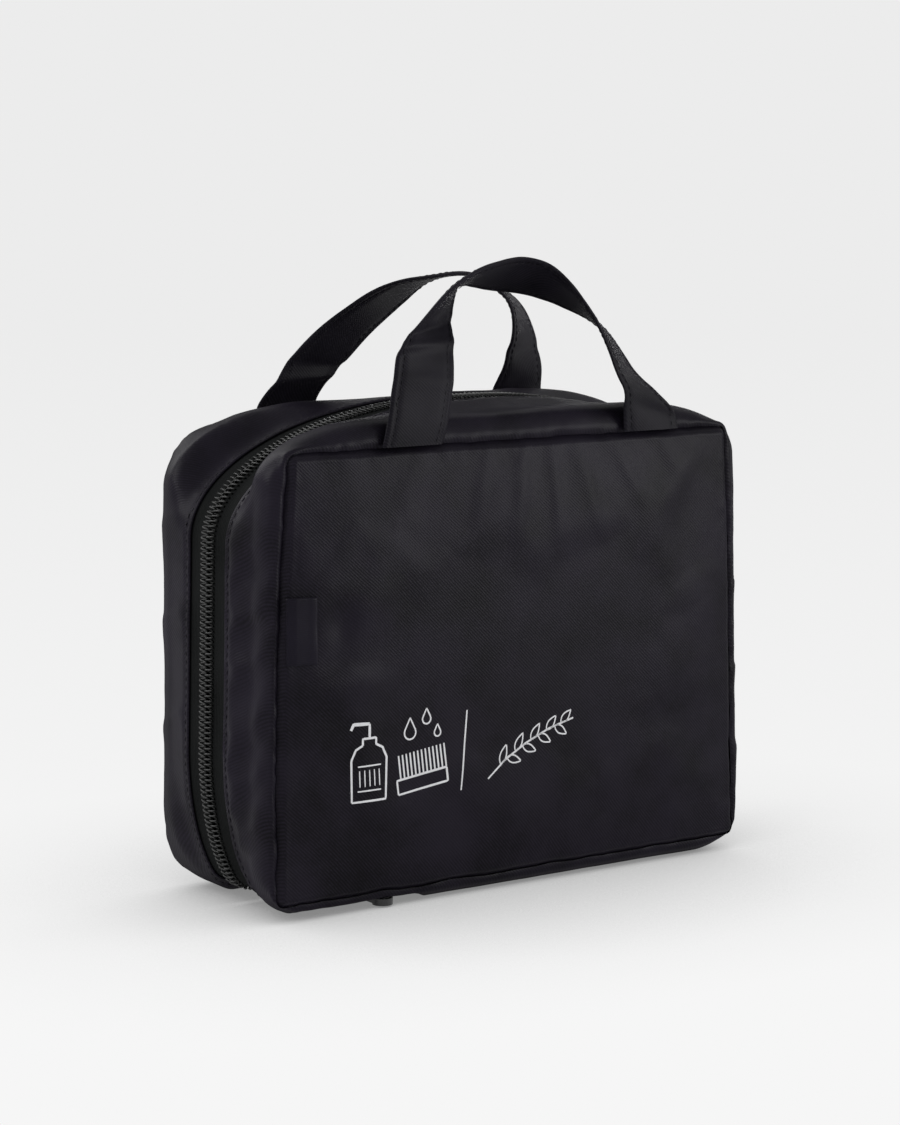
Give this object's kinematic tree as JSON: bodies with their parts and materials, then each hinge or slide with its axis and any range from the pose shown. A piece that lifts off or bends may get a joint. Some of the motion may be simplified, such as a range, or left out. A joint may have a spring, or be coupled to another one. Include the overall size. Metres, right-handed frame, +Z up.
{
  "type": "hanging toiletry bag",
  "caption": "Soft padded wash bag that opens like a clamshell, with a zip over its sides and top, strap handles and a stowed hanging hook.",
  "frame": {"origin": "middle of the footprint on the ground", "axes": "+X to the right seen from the front, -Y towards the front panel with the label, +Z up"},
  "size_m": [0.2384, 0.0862, 0.2457],
  "materials": {
    "outer_cloth": "black polyester twill with a soft sheen",
    "zip_tape": "matt woven polyester tape",
    "coil": "dark nylon coil",
    "foam": "soft foam sheet",
    "lining": "plain polyester lining",
    "binding": "ribbed binding tape",
    "mesh": "knitted polyester mesh",
    "elastic": "ribbed elastic",
    "label": "satin woven label, bare",
    "slider_metal": "die-cast zinc, black lacquer",
    "hook_plastic": "moulded acetal, black"
  },
  "bodies": {
    "rear_half": {"rear_panel": "outer_cloth", "rear_padding": "foam", "rear_lining": "lining", "rear_gusset": "outer_cloth", "rear_gusset_lining": "lining", "rear_binding": "binding", "rear_zip_tape": "zip_tape", "rear_zip_teeth": "coil", "rear_base_fold": "outer_cloth", "rear_zip_stop": "coil", "elastic_loops": "elastic", "hook_tab": "binding"},
    "front_half": {"front_panel": "outer_cloth", "front_padding": "foam", "front_lining": "lining", "front_gusset": "outer_cloth", "front_gusset_lining": "lining", "front_binding": "binding", "front_zip_tape": "zip_tape", "front_zip_teeth": "coil", "front_base_fold": "outer_cloth", "front_zip_stops": "coil", "side_label": "label", "mesh_pocket": "mesh", "pocket_edge": "binding"},
    "zip_slider": {"slider_body": "slider_metal"},
    "zip_pull": {"zip_pull": "slider_metal"},
    "front_handle": {"front_handle": "outer_cloth"},
    "rear_handle": {"rear_handle": "outer_cloth"},
    "hook_link": {"hook_link": "hook_plastic"},
    "hook": {"hook": "hook_plastic"}
  },
  "joints": [
    {"name": "front_opens", "type": "hinge", "parent": "rear_half", "child": "front_half", "pos_m": [0, 0, -0.0002], "axis": [1, 0, 0], "range_deg": [0, 180]},
    {"name": "slider_runs", "type": "slide", "parent": "front_half", "child": "zip_slider", "axis": [-1, 0, 0], "range_m": [0, 0.026]},
    {"name": "pull_swings", "type": "hinge", "parent": "zip_slider", "child": "zip_pull", "pos_m": [-0.0605, 0, 0.00165], "axis": [1, 0, 0], "range_deg": [0, 90]},
    {"name": "front_handle_swings", "type": "hinge", "parent": "front_half", "child": "front_handle", "pos_m": [0, -0.0399, 0.1762], "axis": [1, 0, 0], "range_deg": [-5, 140]},
    {"name": "rear_handle_swings", "type": "hinge", "parent": "rear_half", "child": "rear_handle", "pos_m": [0, 0.0399, 0.1792], "axis": [1, 0, 0], "range_deg": [-140, 5]},
    {"name": "hook_folds", "type": "hinge", "parent": "rear_half", "child": "hook_link", "pos_m": [0, 0.011, 0.16819], "axis": [1, 0, 0], "range_deg": [-20, 3]},
    {"name": "hook_turns", "type": "hinge", "parent": "hook_link", "child": "hook", "pos_m": [0, 0.011, 0.15419], "axis": [0, 0, 1], "continuous": true}
  ]
}
